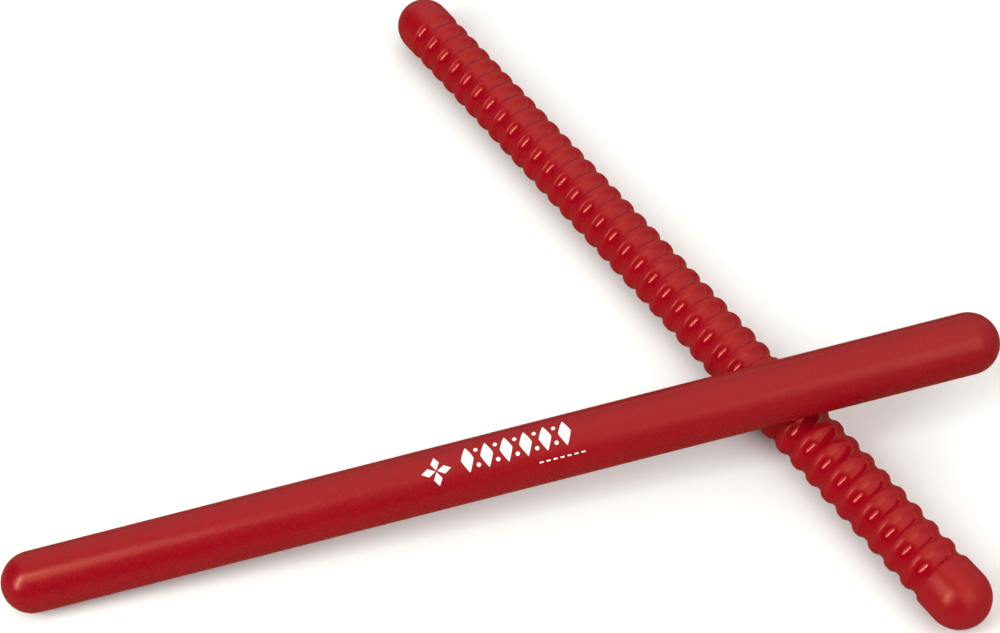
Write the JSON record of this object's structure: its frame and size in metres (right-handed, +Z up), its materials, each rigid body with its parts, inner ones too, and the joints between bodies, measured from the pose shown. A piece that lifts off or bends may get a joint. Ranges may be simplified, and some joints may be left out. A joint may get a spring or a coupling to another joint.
{
  "type": "guiro",
  "caption": "Hollow plastic guiro stick with ring-shaped ridges and domed ends, with a smooth scraper stick lying across it.",
  "frame": {"origin": "mid-length of the ridged stick, on the surface that it rests on, directly below its axis", "axes": "+X along the ridged stick toward the end nearest to the crossing; +Z up from the surface; +Y toward the scraper's raised end"},
  "size_m": [0.3048, 0.2821, 0.0423],
  "materials": {
    "ridged_plastic": "satin moulded red plastic",
    "smooth_plastic": "satin moulded red plastic with a fine moulded texture",
    "white_ink": "thin white printed pattern on the scraper's tube, drawn in the visual model only"
  },
  "bodies": {
    "guiro": {"guiro_ridged_tube": "ridged_plastic", "guiro_near_cap": "ridged_plastic", "guiro_far_cap": "ridged_plastic"},
    "scraper": {"scraper_tube": "smooth_plastic", "scraper_high_cap": "smooth_plastic", "scraper_low_cap": "smooth_plastic"}
  },
  "joints": [
    {"name": "scrape_stroke", "type": "slide", "parent": "guiro", "child": "scraper", "axis": [1, 0, 0], "range_m": [-0.198, 0.0612]}
  ]
}
